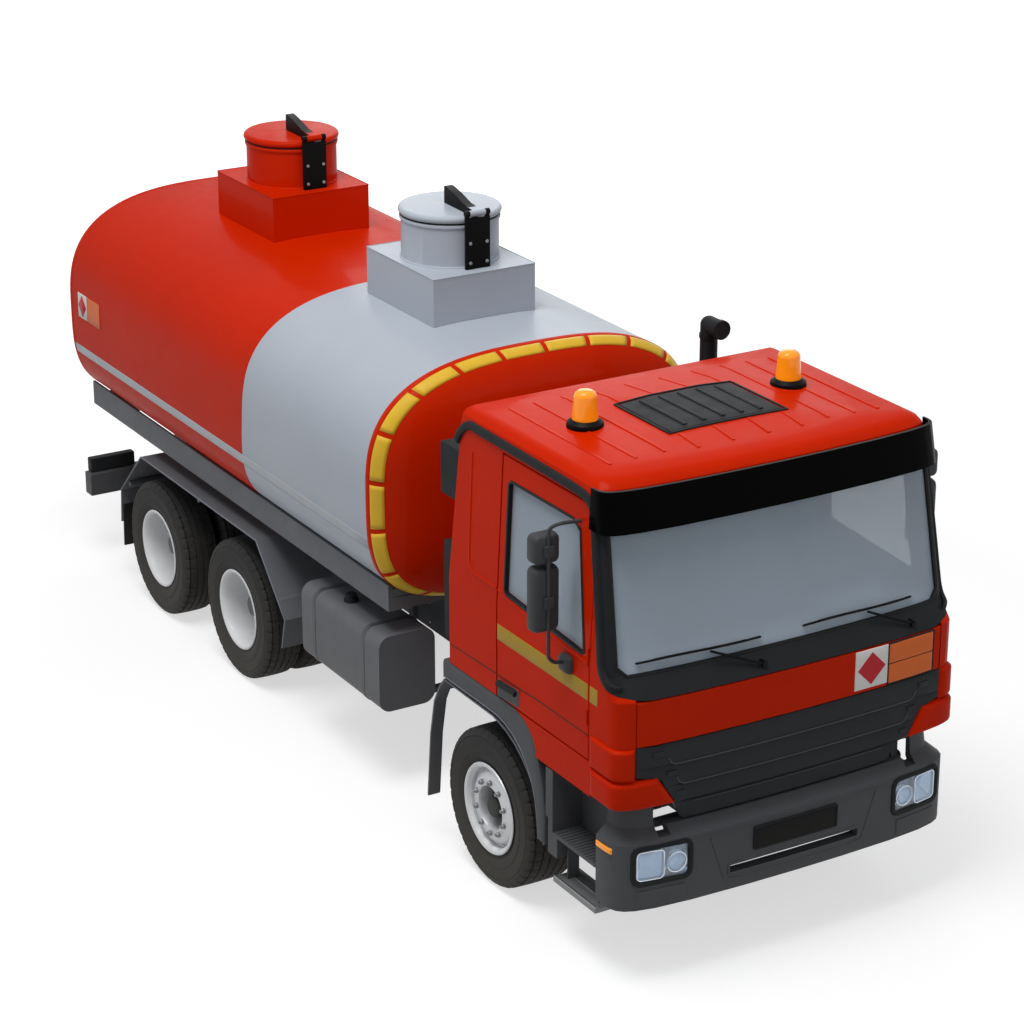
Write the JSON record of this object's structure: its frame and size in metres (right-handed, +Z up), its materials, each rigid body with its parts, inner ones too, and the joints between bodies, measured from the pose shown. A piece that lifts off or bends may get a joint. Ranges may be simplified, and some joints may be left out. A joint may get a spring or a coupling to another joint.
{
  "type": "tanker truck",
  "caption": "Three-axle tanker truck with a tilting cab, opening doors and a long rounded tank with two lidded manholes, red and white",
  "frame": {"origin": "On the ground, under the middle of the truck's length and width", "axes": "+X forward (towards the cab), +Y to the truck's left, +Z up"},
  "size_m": [8.31, 3, 3.8655],
  "materials": {
    "chassis_paint": "satin",
    "tank_paint": "gloss",
    "red_paint": "gloss",
    "black_gloss": "gloss",
    "dark_plastic": "matte",
    "engine_iron": "rough",
    "air_tank_metal": "satin",
    "rim_paint": "gloss",
    "tyre_rubber": "matte",
    "glazing": "gloss",
    "lamp_lens": "gloss",
    "red_lens": "gloss",
    "amber_lens": "gloss",
    "seat_cloth": "matte"
  },
  "bodies": {
    "chassis": {"frame_rails": "chassis_paint", "cab_mounts": "chassis_paint", "tank_shell": "tank_paint", "tank_subframe": "chassis_paint", "front_manhole": "tank_paint", "rear_manhole": "red_paint", "manhole_hinges": "black_gloss", "rear_fenders": "chassis_paint", "underrun_bar": "chassis_paint", "tail_lamps": "red_lens", "fuel_tank": "chassis_paint", "battery_box": "chassis_paint", "air_tanks": "air_tank_metal", "front_axle": "chassis_paint", "rear_axles": "chassis_paint", "engine_block": "engine_iron", "intake_stack": "chassis_paint", "bumper": "dark_plastic", "headlamps": "lamp_lens", "lower_grille": "dark_plastic", "front_mudguards": "chassis_paint", "entry_steps": "chassis_paint"},
    "cab": {"cab_shell": "red_paint", "cab_floor": "chassis_paint", "cab_roof": "red_paint", "windscreen": "glazing", "windscreen_frame": "dark_plastic", "corner_panels": "red_paint", "sun_visor": "black_gloss", "beacons": "amber_lens", "dashboard": "dark_plastic", "seats": "seat_cloth", "cab_rear_boxes": "dark_plastic"},
    "service_flap": {"front_panel": "red_paint", "grille": "dark_plastic"},
    "hatch": {"roof_hatch": "dark_plastic"},
    "steering": {"steering_wheel": "dark_plastic"},
    "front_lid": {"front_manhole_lid": "tank_paint"},
    "rear_lid": {"rear_manhole_lid": "red_paint"},
    "left_door": {"left_door": "red_paint", "left_door_glass": "glazing", "left_mirrors": "dark_plastic"},
    "left_steer_arm": {"left_knuckle": "chassis_paint"},
    "left_front_wheel": {"left_front_tyre": "tyre_rubber", "left_front_rim": "rim_paint"},
    "left_middle_wheels": {"left_middle_tyres": "tyre_rubber", "left_middle_rims": "rim_paint"},
    "left_rear_wheels": {"left_rear_tyres": "tyre_rubber", "left_rear_rims": "rim_paint"},
    "right_door": {"right_door": "red_paint", "right_door_glass": "glazing", "right_mirrors": "dark_plastic"},
    "right_steer_arm": {"right_knuckle": "chassis_paint"},
    "right_front_wheel": {"right_front_tyre": "tyre_rubber", "right_front_rim": "rim_paint"},
    "right_middle_wheels": {"right_middle_tyres": "tyre_rubber", "right_middle_rims": "rim_paint"},
    "right_rear_wheels": {"right_rear_tyres": "tyre_rubber", "right_rear_rims": "rim_paint"}
  },
  "joints": [
    {"name": "cab_tilt", "type": "hinge", "parent": "chassis", "child": "cab", "pos_m": [3.885, 0, 0.93], "axis": [0, 1, 0], "range_deg": [0, 60]},
    {"name": "service_flap_hinge", "type": "hinge", "parent": "cab", "child": "service_flap", "pos_m": [4.135, 0, 1.862], "axis": [0, -1, 0], "range_deg": [0, 80]},
    {"name": "roof_hatch_hinge", "type": "hinge", "parent": "cab", "child": "hatch", "pos_m": [3.31, 0, 3.197], "axis": [0, 1, 0], "range_deg": [0, 20]},
    {"name": "steering_wheel_turn", "type": "hinge", "parent": "cab", "child": "steering", "pos_m": [3.54, 0.6, 2.05], "axis": [-0.5736, 0, 0.8191], "range_deg": [-720, 720]},
    {"name": "left_door_hinge", "type": "hinge", "parent": "cab", "child": "left_door", "pos_m": [3.725, 1.255, 2.2], "axis": [0, 0, -1], "range_deg": [0, 70]},
    {"name": "right_door_hinge", "type": "hinge", "parent": "cab", "child": "right_door", "pos_m": [3.725, -1.255, 2.2], "axis": [0, 0, 1], "range_deg": [0, 70]},
    {"name": "right_steer", "type": "hinge", "parent": "chassis", "child": "right_steer_arm", "pos_m": [2.545, -0.9, 0.535], "axis": [0, 0, 1], "range_deg": [-40, 40]},
    {"name": "left_steer", "type": "hinge", "parent": "chassis", "child": "left_steer_arm", "pos_m": [2.545, 0.9, 0.535], "axis": [0, 0, 1], "range_deg": [-40, 40]},
    {"name": "left_front_wheel_spin", "type": "hinge", "parent": "left_steer_arm", "child": "left_front_wheel", "pos_m": [2.545, 1.0575, 0.535], "axis": [0, 1, 0], "continuous": true},
    {"name": "left_middle_wheels_spin", "type": "hinge", "parent": "chassis", "child": "left_middle_wheels", "pos_m": [-1.205, 0.9035, 0.535], "axis": [0, 1, 0], "continuous": true},
    {"name": "left_rear_wheels_spin", "type": "hinge", "parent": "chassis", "child": "left_rear_wheels", "pos_m": [-2.62, 0.9035, 0.535], "axis": [0, 1, 0], "continuous": true},
    {"name": "right_front_wheel_spin", "type": "hinge", "parent": "right_steer_arm", "child": "right_front_wheel", "pos_m": [2.545, -1.0575, 0.535], "axis": [0, 1, 0], "continuous": true},
    {"name": "right_middle_wheels_spin", "type": "hinge", "parent": "chassis", "child": "right_middle_wheels", "pos_m": [-1.205, -0.9035, 0.535], "axis": [0, 1, 0], "continuous": true},
    {"name": "right_rear_wheels_spin", "type": "hinge", "parent": "chassis", "child": "right_rear_wheels", "pos_m": [-2.62, -0.9035, 0.535], "axis": [0, 1, 0], "continuous": true},
    {"name": "front_lid_hinge", "type": "hinge", "parent": "chassis", "child": "front_lid", "pos_m": [0.28, 0, 3.765], "axis": [0, 1, 0], "range_deg": [0, 100]},
    {"name": "rear_lid_hinge", "type": "hinge", "parent": "chassis", "child": "rear_lid", "pos_m": [-2.163, 0, 3.765], "axis": [0, 1, 0], "range_deg": [0, 100]}
  ],
  "couplings": [
    {"joint": "left_steer", "follows": "right_steer", "ratio": 1},
    {"joint": "steering_wheel_turn", "follows": "right_steer", "ratio": 18}
  ]
}
